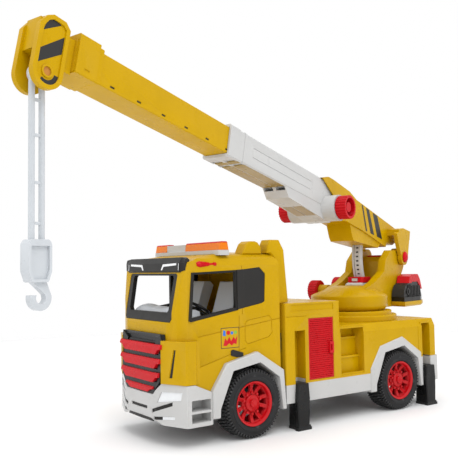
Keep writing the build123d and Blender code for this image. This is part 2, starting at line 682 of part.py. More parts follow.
def turret():
    """Drum with a stepped flank, the yoke arms rising out of it and the wall behind them."""
    drum = turned([(0, DRUM_BOTTOM), (DRUM_R - 6, DRUM_BOTTOM), (DRUM_R - 1.5, DRUM_BOTTOM + 4),
                   (DRUM_R, DRUM_BOTTOM + 7), (DRUM_R, DRUM_EDGE - 2),
                   (DRUM_R - 1.6, DRUM_EDGE), (30, DRUM_TOP), (20, DRUM_TOP + 3), (0, DRUM_TOP + 3)])
    tail = side_plate([(-10, DRUM_BOTTOM + 1), (-98, DRUM_BOTTOM + 1), (-104, DRUM_BOTTOM + 6), (-104, 157),
                       (-40, 157), (-10, 154)], -33, 33)
    body = drum + tail
    body += both(yoke_plate(21.6, 33))
    body += side_plate([(-92, 150), (-92, 205), (-97, 212), (-99, 205), (-96, 150)], -22, 22)
    body -= turned([(0, 130), (46, 130), (46, DRUM_EDGE - 3), (34, DRUM_TOP - 8), (0, DRUM_TOP - 8)])
    body -= block(-90, 0, -18, 18, 130, DRUM_TOP - 8)
    body += turned([(POST_R + RUNNING, DRUM_BOTTOM), (10, DRUM_BOTTOM), (10, DRUM_TOP - 6),
                    (POST_R + RUNNING, DRUM_TOP - 6)])
    body -= rack_path(1.0)
    body -= across(4.0, PIVOT_S, PIVOT_Z, -34, 34)
    for name in TURRET_KNOBS:
        body = body + knob_boss(name) - knob_bore(name)
    return body


def rack_path(clear):
    """The curved slot that the lifting rack swings through."""
    ring = across(RACK_R + 4.5 + clear, PIVOT_S, PIVOT_Z, -7 - clear, 7 + clear) - across(RACK_R - 4.5 -
                                                                                          clear, PIVOT_S,
                                                                                          PIVOT_Z, -8 -
                                                                                          clear, 8 + clear)
    return ring & block(PIVOT_S, 0, -10, 10, 120, 230)


def lift_rack():
    """An arc about the boom hinge, with ratchet teeth down its face."""
    inner, outer = RACK_R - 4.5, RACK_R + 4.5
    ring = across(outer, PIVOT_S, PIVOT_Z, -6.6, 6.6) - across(inner, PIVOT_S, PIVOT_Z, -8, 8)
    start, stop = radians(20), radians(-58)
    wedge = [(PIVOT_S, PIVOT_Z)] + [(PIVOT_S + 140 * cos(a), PIVOT_Z + 140 * sin(a)) for a in (start,
                                                                                               radians(-10),
                                                                                               stop)]
    rack = ring & side_plate(wedge, -10, 10)
    for k in range(16):
        a = radians(14 - 4.4 * k)
        tooth = Pos(PIVOT_S + outer * cos(a), 0, PIVOT_Z + outer * sin(a)) * Rot(0, -degrees(a), 0)
        rack -= tooth * Pos(0, 1.8, 0) * Box(2.4, 4.2, 2.6)
    return rack


def knob_boss(name):
    """The bearing that carries one of the turret knobs."""
    s, z, t = TURRET_KNOBS[name]
    return across(9, s, z, t + 0.5, t + 15)


def knob_bore(name):
    s, z, t = TURRET_KNOBS[name]
    return across(KNOB_SHAFT_R + RUNNING, s, z, t - 5, t + 17)


TURRET_KNOBS = {"front": (-15.0, 161.0, -56.4), "rear": (-74.0, 165.0, -48.0)}


def ribbed_cup(radius, depth, ribs):
    """A knob: ribbed flank and a hollow outer end, standing on z = 0."""
    cup = Cylinder(radius - 0.9, depth, align=(Align.CENTER, Align.CENTER, Align.MIN))
    for k in range(ribs):
        cup += Rot(0, 0, 360 / ribs * k) * Pos(radius - 1.2, 0, depth / 2) * Cylinder(1.15, depth)
    cup -= Pos(0, 0, 3.0) * Cylinder(radius - 3.6, depth, align=(Align.CENTER, Align.CENTER, Align.MIN))
    cup += Cylinder(radius * 0.42, depth - 2.5, align=(Align.CENTER, Align.CENTER, Align.MIN))
    return cup


def turret_knob(name):
    s, z, t = TURRET_KNOBS[name]
    cup = Pos(s, t, z) * Rot(90, 0, 0) * ribbed_cup(KNOB_R, 14, 26)
    return cup + across(KNOB_SHAFT_R, s, z, t - 0.2, t + 14)


TAIL_PLAN = [(-74, 34), (-68, 58), (-128, 60), (-150, 53), (-158, 38)]


def tail_plan(shrink):
    """The tail's outline behind and beside the yoke, drawn in by shrink."""
    left = [(s + shrink * (0.8 if s < -100 else -0.8), t - shrink) for s, t in TAIL_PLAN]
    inner = [(-74 - shrink, 33.4), (-105, 33.4)]
    outline_points = inner[::-1] + left[1:]
    return outline_points + [(s, -t) for s, t in reversed(outline_points)]


def tail_tray():
    tray = plan_plate(tail_plan(0), 135.5, 143)
    return chamfer(tray.faces().sort_by(Axis.Z)[0].edges(), 2.2)


def engine_block():
    rim = plan_plate(tail_plan(1.4), 143, 149.5)
    mass = both(side_plate([(-73, 149.5), (-76, 160), (-82, 167), (-92, 170.5), (-103, 170.5),
                            (-103, 149.5)], 34.5, 54))
    mass += side_plate([(-106.2, 149.5), (-106.2, 172), (-136, 172), (-148, 162), (-153, 149.5)], -50, 50)
    for k in range(6):
        mass += both(block(-142 + 6 * k, -139.5 + 6 * k, 49, 52.6, 151, 166))
    exhaust = across(5.0, -88, 158, 53, 55.4) - across(3.4, -88, 158, 54.4, 57)
    for k in range(3):
        exhaust += block(-99 + 4 * k, -97.4 + 4 * k, 53.5, 55.4, 150, 168)
    s, z, t = TURRET_KNOBS["rear"]
    return rim + mass + both(exhaust) - across(9.3, s, z, -60, -30) - across(KNOB_R + 1, s, z, -80, t + 0.4)


def engine_hood():
    hood = side_plate([(-106.2, 172), (-106.2, 181.5), (-114, 184), (-138, 184), (-146, 176), (-153.5, 160),
                       (-149.2, 160),
                       (-136, 172)], -51, 51)
    side = both(side_plate([(-92, 170.5), (-96, 181), (-103.4, 182.5), (-103.4, 170.5)], 34.5, 55))
    hood = chamfer(hood.edges().filter_by(Axis.Y).group_by(Axis.Z)[-1], 1.2)
    s, z, t = TURRET_KNOBS["rear"]
    return hood + side - across(KNOB_R + 1, s, z, -80, t + 0.4)


BUTTON_SLOT = (-24.6, -18, -4.6, 4.6, 174.8, 179.6)


def rack_collar():
    """The guide the rack runs through, with its release button beside it."""
    collar = plan_plate([(-20, 13), (-50, 13), (-50, -13), (-20, -13)], 173, 181.5)
    collar = fillet(collar.edges().filter_by(Axis.Z), 4.0)
    collar -= rack_path(0.6)
    return collar - block(*BUTTON_SLOT)


def rack_foot():
    foot = plan_plate([(-16, 14), (-54, 14), (-54, -14), (-16, -14)], DRUM_EDGE, 173)
    foot = chamfer(foot.faces().sort_by(Axis.Z)[-1].edges(), 2.5)
    return foot - rack_path(0.6)


def release_button():
    return block(-23.6, -18.6, -4.3, 4.3, 175.1, 179.3)


def superstructure():
    save("turret", slewed(turret()))
    for name in TURRET_KNOBS:
        save(f"turret_knob_{name}", slewed(turret_knob(name)))
    save("tail_tray", carve(slewed(tail_tray()), "turret"))
    save("engine_block", carve(slewed(engine_block()), "turret"))
    save("engine_hood", carve(slewed(engine_hood()), "turret", "engine_block"))
    save("rack_collar", slewed(rack_collar()))
    save("rack_foot", carve(slewed(rack_foot()), "turret"))
    save("release_button", slewed(release_button()))
    save("lift_rack", slewed(lift_rack()))
    pin = across(4.0 - 0.06, PIVOT_S, PIVOT_Z, -41.2, 41.2)
    cap = turned([(0, 0), (8.5, 0), (8.5, 1.4), (6.5, 2.8), (0, 3.4)])
    caps = Pos(PIVOT_S, 41.0, PIVOT_Z) * Rot(-90, 0, 0) * cap
    save("hinge_pin", slewed(pin + both(caps)))
    post = Pos(0, 0, 134) * Cylinder(POST_R, 46.8) + Pos(0, 0, 115) * Cylinder(14, 6.8)
    save("slew_post", post)


# ---- boom --------------------------------------------------------------------
BASE_W = 21.2
SLEEVE_V = 18.3
SLEEVE_W = 17.8
INNER_V = 15.3
INNER_W = 15.9


def base_boom():
    """Yellow root of the boom: a hollow beam with a bracket and two hinge ears."""
    beam = side_plate([(112.8, 18.0), (98, 23.4), (84, 23.6), (34.7, 20.6), (12.1, 14.5), (-139.7, 3.5),
                       (-139.6, -10.8),
                       (-118, -24), (-97, -25.6), (37.3, -24.0), (60, -27), (76, -27), (76, 0)], -BASE_W,
                       BASE_W)
    flange = side_plate([(37, -24), (-16, -25.4), (-94.3, -32.2), (-97, -25.6)], -BASE_W, BASE_W)
    bracket = side_plate([(24, -24), (14, -40), (8, -45.5), (-72, -38.5), (-80, -30), (-80, -24)], -19, 19)
    body = beam + flange + bracket
    body -= side_plate([(130, 18.7), (36, 18.4), (24, 15.9), (10, 11.8), (-134, 1.5), (-134, -9),
                        (-116, -21.5), (20, -21.5), (48, -24.5), (130, -24.5)], -19.5, 19.5)
    ear = side_plate([(-139, 2.5), (-136, -42.7), (-110, -42.7), (-97, -25), (-90, -12), (-112, 0)], 34.6,
                     40.6)
    u0, v0 = boom_uv(PIVOT_S, PIVOT_Z)
    ear += across(12.5, u0, v0, 34.6, 40.6)
    web = side_plate([(-139.4, 2.5), (-139, -12), (-128, -17), (-117, -17), (-98, -13), (-96, -4),
                      (-112, 1.4)], 20, 40.6)
    body += both(ear + web)
    body -= across(4.0, u0, v0, -50, 50)
    body -= block(-62, 10, -8, 8, -60, -24.6) & rack_slot()
    return body


def rack_slot():
    """Room for the rack's head inside the bracket, in the boom frame."""
    u0, v0 = boom_uv(PIVOT_S, PIVOT_Z)
    return across(RACK_R + 4.5, u0, v0, -6.6, 6.6) - across(RACK_R - 4.5, u0, v0, -8, 8)


def sleeve():
    """White outer sleeve, with the gear housing that holds the extension pinion."""
    u0, v0 = boom_uv(KNOB_S, KNOB_Z)
    body = block(70, 314.4, -SLEEVE_W, SLEEVE_W, -SLEEVE_V, SLEEVE_V)
    body = chamfer(body.edges().filter_by(Axis.X), 1.6)
    body += rounded_block(296, 314.4, SLEEVE_W + 0.7, SLEEVE_V + 0.7)
    body += rounded_block(283, 286.5, SLEEVE_W + 0.5, SLEEVE_V + 0.5)
    body += side_plate([(196, -17), (184, -30), (150, -31.5), (112, -34), (u0, v0 - 17.5), (78, -36),
                        (66, -24), (66, -17)], -17, 17)
    body += across(17.6, u0, v0, -36.4, 36.4)
    body -= block(60, 320, -INNER_W - GAP, INNER_W + GAP, -INNER_V - GAP, INNER_V + GAP)
    body -= side_plate([(150, -14), (150, -28), (112, -31), (u0, v0 - 13.5), (80, -32), (70, -22),
                        (70, -14)], -12, 12)
    for v in (-5.6, 5.6):
        groove = block(136, 268, SLEEVE_W - 0.6, 30, v - 0.35, v + 0.35)
        body -= both(groove)
    body -= both(block(172, 302, 2.2, 15.6, -22, -SLEEVE_V + 1.0))
    body -= across(KNOB_SHAFT_R + RUNNING, u0, v0, -40, 40)
    return body - block(60, 112, -19.9, 19.9, SLEEVE_V - 1.9, 30) - base_boom()


def rounded_block(u0, u1, w, v):
    band = block(u0, u1, -w, w, -v, v)
    return chamfer(band.edges().filter_by(Axis.X), 1.6)


def pinion():
    """The shaft between the knobs with the pinion that drives the rack."""
    u0, v0 = boom_uv(KNOB_S, KNOB_Z)
    pitch_r = MODULE * PINION_TEETH / 2
    gear = Cylinder(pitch_r - 1.9, 8)
    for k in range(PINION_TEETH):
        tooth = plan_plate([(pitch_r - 2.4, -1.25), (pitch_r, -0.75), (pitch_r + 1.1, -0.4),
                            (pitch_r + 1.1, 0.4), (pitch_r, 0.75), (pitch_r - 2.4, 1.25)], -4, 4)
        gear += Rot(0, 0, 360 / PINION_TEETH * k) * tooth
    gear = Pos(u0, 0, v0) * Rot(90, 0, 0) * Rot(0, 0, 90) * gear
    return gear + across(KNOB_SHAFT_R, u0, v0, -39, 39)


def boom_knobs():
    u0, v0 = boom_uv(KNOB_S, KNOB_Z)
    cup = Pos(u0, 37.0, v0) * Rot(-90, 0, 0) * ribbed_cup(KNOB_R, 15.2, 26)
    cup -= across(KNOB_SHAFT_R, u0, v0, 30, 39)
    return both(cup)


def inner_boom():
    """Yellow telescoping beam, open at its rear, with small slots along its foot."""
    beam = block(150, 533, -INNER_W, INNER_W, -INNER_V, INNER_V)
    beam = chamfer(beam.edges().filter_by(Axis.X), 0.8)
    beam -= block(140, 530, -INNER_W + 2, INNER_W - 2, -INNER_V + 2, INNER_V - 2)
    beam -= block(140, 262, -6, 6, -20, -INNER_V + 4)
    for k in range(6):
        beam -= both(block(312 + 34.6 * k, 317.5 + 34.6 * k, INNER_W - 0.8, 20, -12.6, -10.6))
    return beam


def rack_bar():
    """The toothed bar under the inner boom's floor, in mesh with the pinion."""
    u0, v0 = boom_uv(KNOB_S, KNOB_Z)
    line = v0 + MODULE * PINION_TEETH / 2
    pitch = pi * MODULE
    bar = block(u0 - 9, 262, -4.6, 4.6, line + 1.9, line + 6.0)
    count = int((TRAVEL + 16) / pitch)
    for k in range(-2, count):
        u = u0 + pitch * (k + 0.5)
        tooth = side_plate([(u - 1.25, line + 2.1), (u - 0.55, line - 1.0), (u + 0.55, line - 1.0),
                            (u + 1.25, line + 2.1)], -4.6, 4.6)
        bar += tooth
    plate = block(240, 262, -13.7, 13.7, line + 2.2, line + 5.8)
    return bar + plate


def boom_head():
    """Collar, neck and the two cheeks that carry the hook link."""
    collar = block(504, 509, -17.4, 17.4, -16.2, 18)
    collar += block(509, 532.5, -18.2, 18.2, -16.6, 20.6)
    collar = chamfer(collar.edges().filter_by(Axis.X), 1.0)
    collar -= block(500, 533.5, -INNER_W, INNER_W, -INNER_V, INNER_V)
    neck = block(533.1, 552, -12, 12, -18.5, 14)
    cheek = side_plate([(541.2, -26), (541.2, 18), (547, 23.6), (560, 24.2), (566.5, 20.5), (571.8, 12),
                        (571.8, -26)], 9.2, 14.8)
    cheek += across(15.3, 556.5, -26, 9.2, 14.8)
    face = side_plate([(545.2, -26), (545.2, 16.5), (549, 19.8), (559, 20.3), (563.6, 17.6), (567.8, 10.6),
                       (567.8, -26)], 13.4, 16)
    face += across(11.3, 556.5, -26, 13.4, 16)
    ring = across(5.6, TIP_U, TIP_V, 12, 14.6)
    cheek = cheek - face + ring
    front = block(553, 569, -9.3, 9.3, -8, 20)
    roof = block(541.2, 566, -9.3, 9.3, 14, 21.4)
    head = collar + neck + both(cheek) + front + roof
    head -= across(4.0, TIP_U, TIP_V, -20, 20)
    slots = both(block(517.6, 523.4, 17.6, 20, -11.2, -9.2))
    return head - slots


def tip_pin():
    pin = across(3.98, TIP_U, TIP_V, -13.2, 13.2)
    return pin


def boom():
    save("base_boom", on_boom(base_boom()))
    save("sleeve", on_boom(sleeve()))
    save("pinion_shaft", on_boom(pinion()))
    save("boom_knobs", on_boom(boom_knobs()))
    save("inner_boom", on_boom(inner_boom()))
    save("rack_bar", on_boom(rack_bar()))
    save("boom_head", on_boom(boom_head()))
    save("tip_pin", on_boom(tip_pin()))


# ---- hook link ---------------------------------------------------------------
ROD_R = 2.7
ROD_END = 221.0


def tip_in_turret_frame():
    a = radians(ELEVATION)
    return TIP_U * cos(a) - TIP_V * sin(a), BOOM_Z + TIP_U * sin(a) + TIP_V * cos(a)


def hook_link():
    """Two long rods from the tip pin down to the hook block, tied by rungs."""
    s, z = tip_in_turret_frame()
    eye = across(8.0, s, z, -3.2, 3.2)
    link = eye
    for side in (-1, 1):
        link += Pos(s + 5.1 * side, 0, (z + ROD_END) / 2) * Cylinder(ROD_R, z - ROD_END)
    for height in (z - 22, z - 52, z - 92, z - 126):
        link += block(s - 4, s + 4, -1.4, 1.4, height - 1.2, height + 1.2)
    link -= across(4.06, s, z, -10, 10)
    return link


def hook():
    """The block that joins the rods and the open hook below it."""
    s = tip_in_turret_frame()[0]
    body = side_plate([(s - 11.5, 197), (s - 11.5, 220), (s - 8.8, 223.5), (s + 8.8, 223.5),
                       (s + 11.5, 220), (s + 11.5, 197), (s + 8, 188), (s - 8, 188)], -6, 6)
    body = chamfer(body.edges().filter_by(Axis.Y), 0.8)
    body -= both(side_plate([(s - 9, 198), (s - 9, 218), (s + 9, 218), (s + 9, 198), (s + 6.4, 190.5),
                             (s - 6.4, 190.5)], 3.6, 8))
    for side in (-1, 1):
        body -= Pos(s + 5.1 * side, 0, ROD_END + 5) * Cylinder(ROD_R, 10)
    c = s - 2.4
    ring = across(10.6, c, 175, -3.2, 3.2) - across(5.0, c, 175, -8, 8)
    ring -= block(c, c + 20, -5, 5, 177.5, 190) + block(c - 20, c, -5, 5, 176, 190)
    shank = side_plate([(s + 6, 188.4), (s - 8, 188.4), (c - 10.55, 176.5), (c - 10.6, 174), (c - 5.0, 174),
                        (c - 4.2, 177.7), (s + 0.6, 184)], -3.2, 3.2)
    return body + shank + ring


def main():
    os.makedirs("parts", exist_ok=True)
    wheels()
    save("chassis", chassis())
    save("lower_skirt", lower_skirt())
    save("front_arches", arches(FRONT_AXLE_X))
    stabilisers()
    cab_trim()
    cab_interior()
    inserts = front_trim()
    front_grille()
    inserts += corner_panels()
    inserts += both(door_vent()) + both(cab_gap())
    save("dark_trim", carve(inserts, "cab_shell", "front_arches"))
    save("body_shell", body_shell())
    save("roller_door_left", roller_door())
    save("roller_door_right", flip(roller_door()))
    save("deck_ring", deck_ring())
    superstructure()
    boom()
    save("hook_link", slewed(hook_link()))
    save("hook", slewed(hook()))
    for name, shape in parts.items():
        export_step(shape, f"parts/{name}.step")


main()
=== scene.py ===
"""Looks for the toy crane truck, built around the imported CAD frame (metres, +X front, +Y left, +Z up)."""
import json
import math

import bmesh
import bpy
from mathutils import Matrix, Vector

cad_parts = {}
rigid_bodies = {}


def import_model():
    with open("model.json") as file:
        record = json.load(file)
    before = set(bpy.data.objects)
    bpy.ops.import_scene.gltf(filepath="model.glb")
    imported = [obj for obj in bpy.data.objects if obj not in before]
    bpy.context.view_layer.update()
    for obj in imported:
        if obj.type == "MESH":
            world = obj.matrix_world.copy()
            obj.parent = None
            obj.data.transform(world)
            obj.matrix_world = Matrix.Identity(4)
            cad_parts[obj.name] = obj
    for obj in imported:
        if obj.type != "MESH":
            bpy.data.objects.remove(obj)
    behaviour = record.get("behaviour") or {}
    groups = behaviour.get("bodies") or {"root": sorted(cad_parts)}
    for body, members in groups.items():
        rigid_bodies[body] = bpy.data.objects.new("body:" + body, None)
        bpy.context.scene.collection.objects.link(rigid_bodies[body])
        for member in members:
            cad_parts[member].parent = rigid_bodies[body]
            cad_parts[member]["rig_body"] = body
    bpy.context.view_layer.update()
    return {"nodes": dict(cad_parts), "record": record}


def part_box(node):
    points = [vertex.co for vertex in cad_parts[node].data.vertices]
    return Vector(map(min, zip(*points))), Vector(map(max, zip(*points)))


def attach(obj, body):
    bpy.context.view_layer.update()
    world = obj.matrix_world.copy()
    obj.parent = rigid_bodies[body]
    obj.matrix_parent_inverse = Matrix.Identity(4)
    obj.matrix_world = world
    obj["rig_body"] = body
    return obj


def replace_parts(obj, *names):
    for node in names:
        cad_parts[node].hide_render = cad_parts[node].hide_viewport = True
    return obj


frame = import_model()
MM = 0.001

# ---- driving places, repeated from the CAD ------------------------------------
SLEW = math.radians(17.1)
ELEVATION = math.radians(11.5)
BOOM_Z = 0.2774
TYRE_R = 0.040
TYRE_WIDTH = 0.034
RIM_R = 0.0257
CAB_SIDE = 0.0765
BASE_HALF_WIDTH = 0.0212      # boom root
BEAM_HALF_WIDTH = 0.0159      # telescoping beam
CHEEK_FLOOR = 0.0133          # recessed faces of the boom head's cheeks
HINGE = (-0.112, 0.0, 0.211)  # boom hinge in the turret's frame
RACK_OUTER = 0.0865           # radius of the rack's toothed face
VISOR_BACK = 0.0085           # how far the visor's front is set back from the CAD's
VISOR_REAR = 0.313            # x of the visor's edge that stays where it is
VISOR_DEPTH = 0.0245
VISOR_HALF_FRONT = 0.0621     # beyond this the visor's ends turn the corner
SKY_DIM = 0.6
FLOOR_RADIUS = 1.25
SIDES = ((1, "left"), (-1, "right"))
EDGE = 0.00045          # rounding of a moulding's edges
FINE_EDGE = 0.0003      # the same on thin pieces
EDGES = {node: FINE_EDGE for node in (
    "dark_trim", "release_button", "steering_wheel", "air_horns", "roller_door_left",
    "roller_door_right", "window_frames", "hook_link", "lift_rack")}
EDGES["seats"] = 0.0016
TURRET_FRAME = Matrix.Rotation(SLEW, 4, "Z")
BOOM_FRAME = TURRET_FRAME @ Matrix.Translation((0, 0, BOOM_Z)) @ Matrix.Rotation(-ELEVATION, 4, "Y")


# ---- materials -----------------------------------------------------------------
def shader(name, colour, roughness, **sockets):
    """A principled material whose plain numbers sit on the shader's own sockets."""
    material = bpy.data.materials.new(name)
    material.use_nodes = True
    tree = material.node_tree
    principled = tree.nodes["Principled BSDF"]
    principled.inputs["Base Color"].default_value = (*colour, 1)
    principled.inputs["Roughness"].default_value = roughness
    for socket, value in sockets.items():
        principled.inputs[socket.replace("_", " ")].default_value = value
    return material, tree, principled


def noise_node(tree, scale, detail=3.0):
    """Noise in object coordinates, so that it stays on a moving piece."""
    coords = tree.nodes.new("ShaderNodeTexCoord")
    noise = tree.nodes.new("ShaderNodeTexNoise")
    noise.inputs["Scale"].default_value = scale
    noise.inputs["Detail"].default_value = detail
    tree.links.new(coords.outputs["Object"], noise.inputs["Vector"])
    return noise.outputs["Fac"]


def spread(tree, value, low, high, start=0.3, stop=0.7):
    """The noise value moved into the range low to high."""
    mapper = tree.nodes.new("ShaderNodeMapRange")
    for socket, number in (("From Min", start), ("From Max", stop), ("To Min", low), ("To Max", high)):
        mapper.inputs[socket].default_value = number
    tree.links.new(value, mapper.inputs["Value"])
    return mapper.outputs["Result"]


def tint(tree, colour, other, factor):
    """A colour that runs to another one with the factor."""
    mix = tree.nodes.new("ShaderNodeMix")
    mix.data_type = "RGBA"
    mix.inputs["A"].default_value = (*colour, 1)
    mix.inputs["B"].default_value = (*other, 1)
    tree.links.new(factor, mix.inputs["Factor"])
    return mix.outputs["Result"]


def worn_edges(tree, colour_output, edge_colour, amount):
    """Lighter plastic where handling has rubbed the outer edges."""
    geometry = tree.nodes.new("ShaderNodeNewGeometry")
    rub = spread(tree, geometry.outputs["Pointiness"], 0.0, amount, 0.52, 0.60)
    mix = tree.nodes.new("ShaderNodeMix")
    mix.data_type = "RGBA"
    mix.inputs["B"].default_value = (*edge_colour, 1)
    tree.links.new(colour_output, mix.inputs["A"])
    tree.links.new(rub, mix.inputs["Factor"])
    return mix.outputs["Result"]


def bump(tree, principled, height, strength, distance):
    node = tree.nodes.new("ShaderNodeBump")
    node.inputs["Strength"].default_value = strength
    node.inputs["Distance"].default_value = distance
    tree.links.new(height, node.inputs["Height"])
    tree.links.new(node.outputs["Normal"], principled.inputs["Normal"])


def plastic(name, colour, roughness, grain=0.05, shade=0.9, wear=0.2, **sockets):
    """Injection-moulded plastic: faint mottling, uneven gloss and a fine moulded grain."""
    material, tree, principled = shader(name, colour, roughness, **sockets)
    mottle = spread(tree, noise_node(tree, 22.0), 0.0, 1.0)
    base = tint(tree, colour, tuple(c * shade for c in colour), mottle)
    edge = tuple(c + (1 - c) * 0.18 for c in colour)
    tree.links.new(worn_edges(tree, base, edge, wear), principled.inputs["Base Color"])
    gloss = spread(tree, noise_node(tree, 60.0, 5.0), roughness - 0.05, roughness + 0.09)
    tree.links.new(gloss, principled.inputs["Roughness"])
    bump(tree, principled, noise_node(tree, 1100.0, 2.0), grain, 0.0002)
    return material


def rubber(name, colour):
    material, tree, principled = shader(name, colour, 0.62, Specular_IOR_Level=0.3)
    dust = spread(tree, noise_node(tree, 45.0, 6.0), 0.0, 1.0, 0.45, 0.75)
    base = tint(tree, colour, tuple(c * 1.4 + 0.003 for c in colour), dust)
    tree.links.new(worn_edges(tree, base, (0.11, 0.11, 0.11), 0.35), principled.inputs["Base Color"])
    tree.links.new(spread(tree, noise_node(tree, 90.0, 4.0), 0.5, 0.74), principled.inputs["Roughness"])
    bump(tree, principled, noise_node(tree, 1600.0, 4.0), 0.22, 0.0003)
    return material


def lens(name, colour, transmission, shine=0.4):
    """Tinted clear plastic with a fine fluted pattern moulded into it."""
    material, tree, principled = shader(name, colour, 0.14, Transmission_Weight=transmission, IOR=1.49,
                                        Specular_IOR_Level=shine)
    coords = tree.nodes.new("ShaderNodeTexCoord")
    flutes = tree.nodes.new("ShaderNodeTexWave")
    flutes.bands_direction = "Y"
    flutes.inputs["Scale"].default_value = 90.0
    tree.links.new(coords.outputs["Object"], flutes.inputs["Vector"])
    bump(tree, principled, flutes.outputs["Fac"], 0.35, 0.0004)
    return material


YELLOW = (0.55, 0.325, 0.0001)
RED = (0.56, 0.004, 0.010)
LOOKS = {
    "yellow": plastic("yellow plastic", YELLOW, 0.28, wear=0.05, Specular_IOR_Level=0.09),
    "white": plastic("white plastic", (0.52, 0.52, 0.513), 0.30, shade=0.96, wear=0.08,
                     Specular_IOR_Level=0.25),
    "red": plastic("red plastic", RED, 0.27, wear=0.08, Specular_IOR_Level=0.10),
    "rim": plastic("red wheel plastic", (0.52, 0.003, 0.007), 0.25, wear=0.1, Specular_IOR_Level=0.12),
    "black": plastic("black plastic", (0.006, 0.006, 0.006), 0.28, shade=1.5, wear=0.06,
                     Specular_IOR_Level=0.25),
    "dark": plastic("dark grey plastic", (0.012, 0.011, 0.010), 0.34, shade=1.3, wear=0.08,
                    Specular_IOR_Level=0.2),
    "grey": plastic("light grey plastic", (0.58, 0.61, 0.65), 0.40, grain=0.12, Specular_IOR_Level=0.3),
    "silver": plastic("pale grey plastic", (0.56, 0.59, 0.62), 0.30, grain=0.08, Specular_IOR_Level=0.35),
    "steel": plastic("steel axle", (0.55, 0.56, 0.58), 0.3, Metallic=1.0),
    "clear": lens("clear lens", (0.84, 0.86, 0.88), 0.1),
    "amber": lens("amber lens", (0.85, 0.21, 0.004), 0.1, 0.2),
    "tyre": rubber("tyre rubber", (0.011, 0.011, 0.012)),
}
SLOT_OF = {part["node"]: part["material_slot"] for part in frame["record"]["subparts"]}


# ---- meshes --------------------------------------------------------------------
def finish_mesh(obj, body, slot, look=None, edge=0.0, angle=32.0):
    """Links a piece, shades it, rounds its edges and lets it ride on its body."""
    bpy.context.scene.collection.objects.link(obj)
    obj.data.materials.clear()
    obj.data.materials.append(look or LOOKS[slot])
    obj.data.shade_smooth()
    obj.data.set_sharp_from_angle(angle=math.radians(angle))
    if edge:
        bevel = obj.modifiers.new("rounded edges", "BEVEL")
        bevel.width = edge
        bevel.segments = 2
        bevel.limit_method = "ANGLE"
        bevel.angle_limit = math.radians(angle)
        bevel.harden_normals = True
    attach(obj, body)
    return obj


def moulded(node, edge=EDGE):
    """The CAD node again, with the small rounded edges of a moulding."""
    source = frame["nodes"][node]
    mesh = source.data.copy()
    work = bmesh.new()
    work.from_mesh(mesh)
    bmesh.ops.remove_doubles(work, verts=work.verts, dist=3e-6)
    bmesh.ops.dissolve_limit(work, angle_limit=math.radians(0.7), verts=work.verts, edges=work.edges)
    work.to_mesh(mesh)
    work.free()
    obj = bpy.data.objects.new(node + "_moulded", mesh)
    finish_mesh(obj, source["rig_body"], SLOT_OF[node], edge=edge)
    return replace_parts(obj, node)


def from_faces(name, verts, faces):
    mesh = bpy.data.meshes.new(name)
    mesh.from_pydata([tuple(v) for v in verts], [], faces)
    mesh.update()
    return bpy.data.objects.new(name, mesh)


def prism(name, outline, place, near, far, body, slot, look=None, edge=0.0):
    """An outline (a, b) carried through place(a, b, depth) from depth near to far."""
    count = len(outline)
    verts = [place(a, b, depth) for depth in (near, far) for a, b in outline]
    faces = [tuple(range(count)), tuple(range(2 * count - 1, count - 1, -1))]
    faces += [(i, count + i, count + (i + 1) % count, (i + 1) % count) for i in range(count)]
    obj = from_faces(name, verts, faces)
    work = bmesh.new()
    work.from_mesh(obj.data)
    bmesh.ops.recalc_face_normals(work, faces=work.faces)
    work.to_mesh(obj.data)
    work.free()
    return finish_mesh(obj, body, slot, look, edge)


def millimetres(points):
    return [(a * MM, b * MM) for a, b in points]


def arc(centre, radius, start, stop, steps=10):
    angles = [math.radians(start + (stop - start) * k / steps) for k in range(steps + 1)]
    return [(centre[0] + radius * math.cos(a), centre[1] + radius * math.sin(a)) for a in angles]


def on_boom_side(sign):
    """Places (u, v) on a side of the boom, sign +1 for its left side."""
    return lambda u, v, depth: BOOM_FRAME @ Vector((u, sign * depth, v))


def on_cab_side(sign):
    return lambda x, z, depth: Vector((x, sign * depth, z))


# ---- tyres ---------------------------------------------------------------------
LUGS = 58


def tyre_ring(work, profile, steps, phase=0.0):
    """Spins a closed profile of (radius, y) about the Y axis."""
    rings = []
    for k in range(steps):
        turn = 2 * math.pi * k / steps + phase
        rings.append([work.verts.new((r * math.cos(turn), y, r * math.sin(turn))) for r, y in profile])
    count = len(profile)
    for k in range(steps):
        here, there = rings[k], rings[(k + 1) % steps]
        for i in range(count):
            j = (i + 1) % count
            work.faces.new((here[i], here[j], there[j], there[i]))


def lug(work, turn, half_turn, y0, y1, skew, low, high):
    """One tread block: a leaning box on the tread, narrower at its top."""
    corners = []
    for radius, shrink in ((low, 1.0), (high, 0.78)):
        for side, y in ((-1, y0), (1, y0), (1, y1), (-1, y1)):
            lean = skew * (y - y0) / (y1 - y0)
            a = turn + lean + side * half_turn * shrink
            corners.append(work.verts.new((radius * math.cos(a), y, radius * math.sin(a))))
    for face in ((0, 1, 2, 3), (7, 6, 5, 4), (0, 4, 5, 1), (1, 5, 6, 2), (2, 6, 7, 3), (3, 7, 4, 0)):
        work.faces.new([corners[i] for i in face])


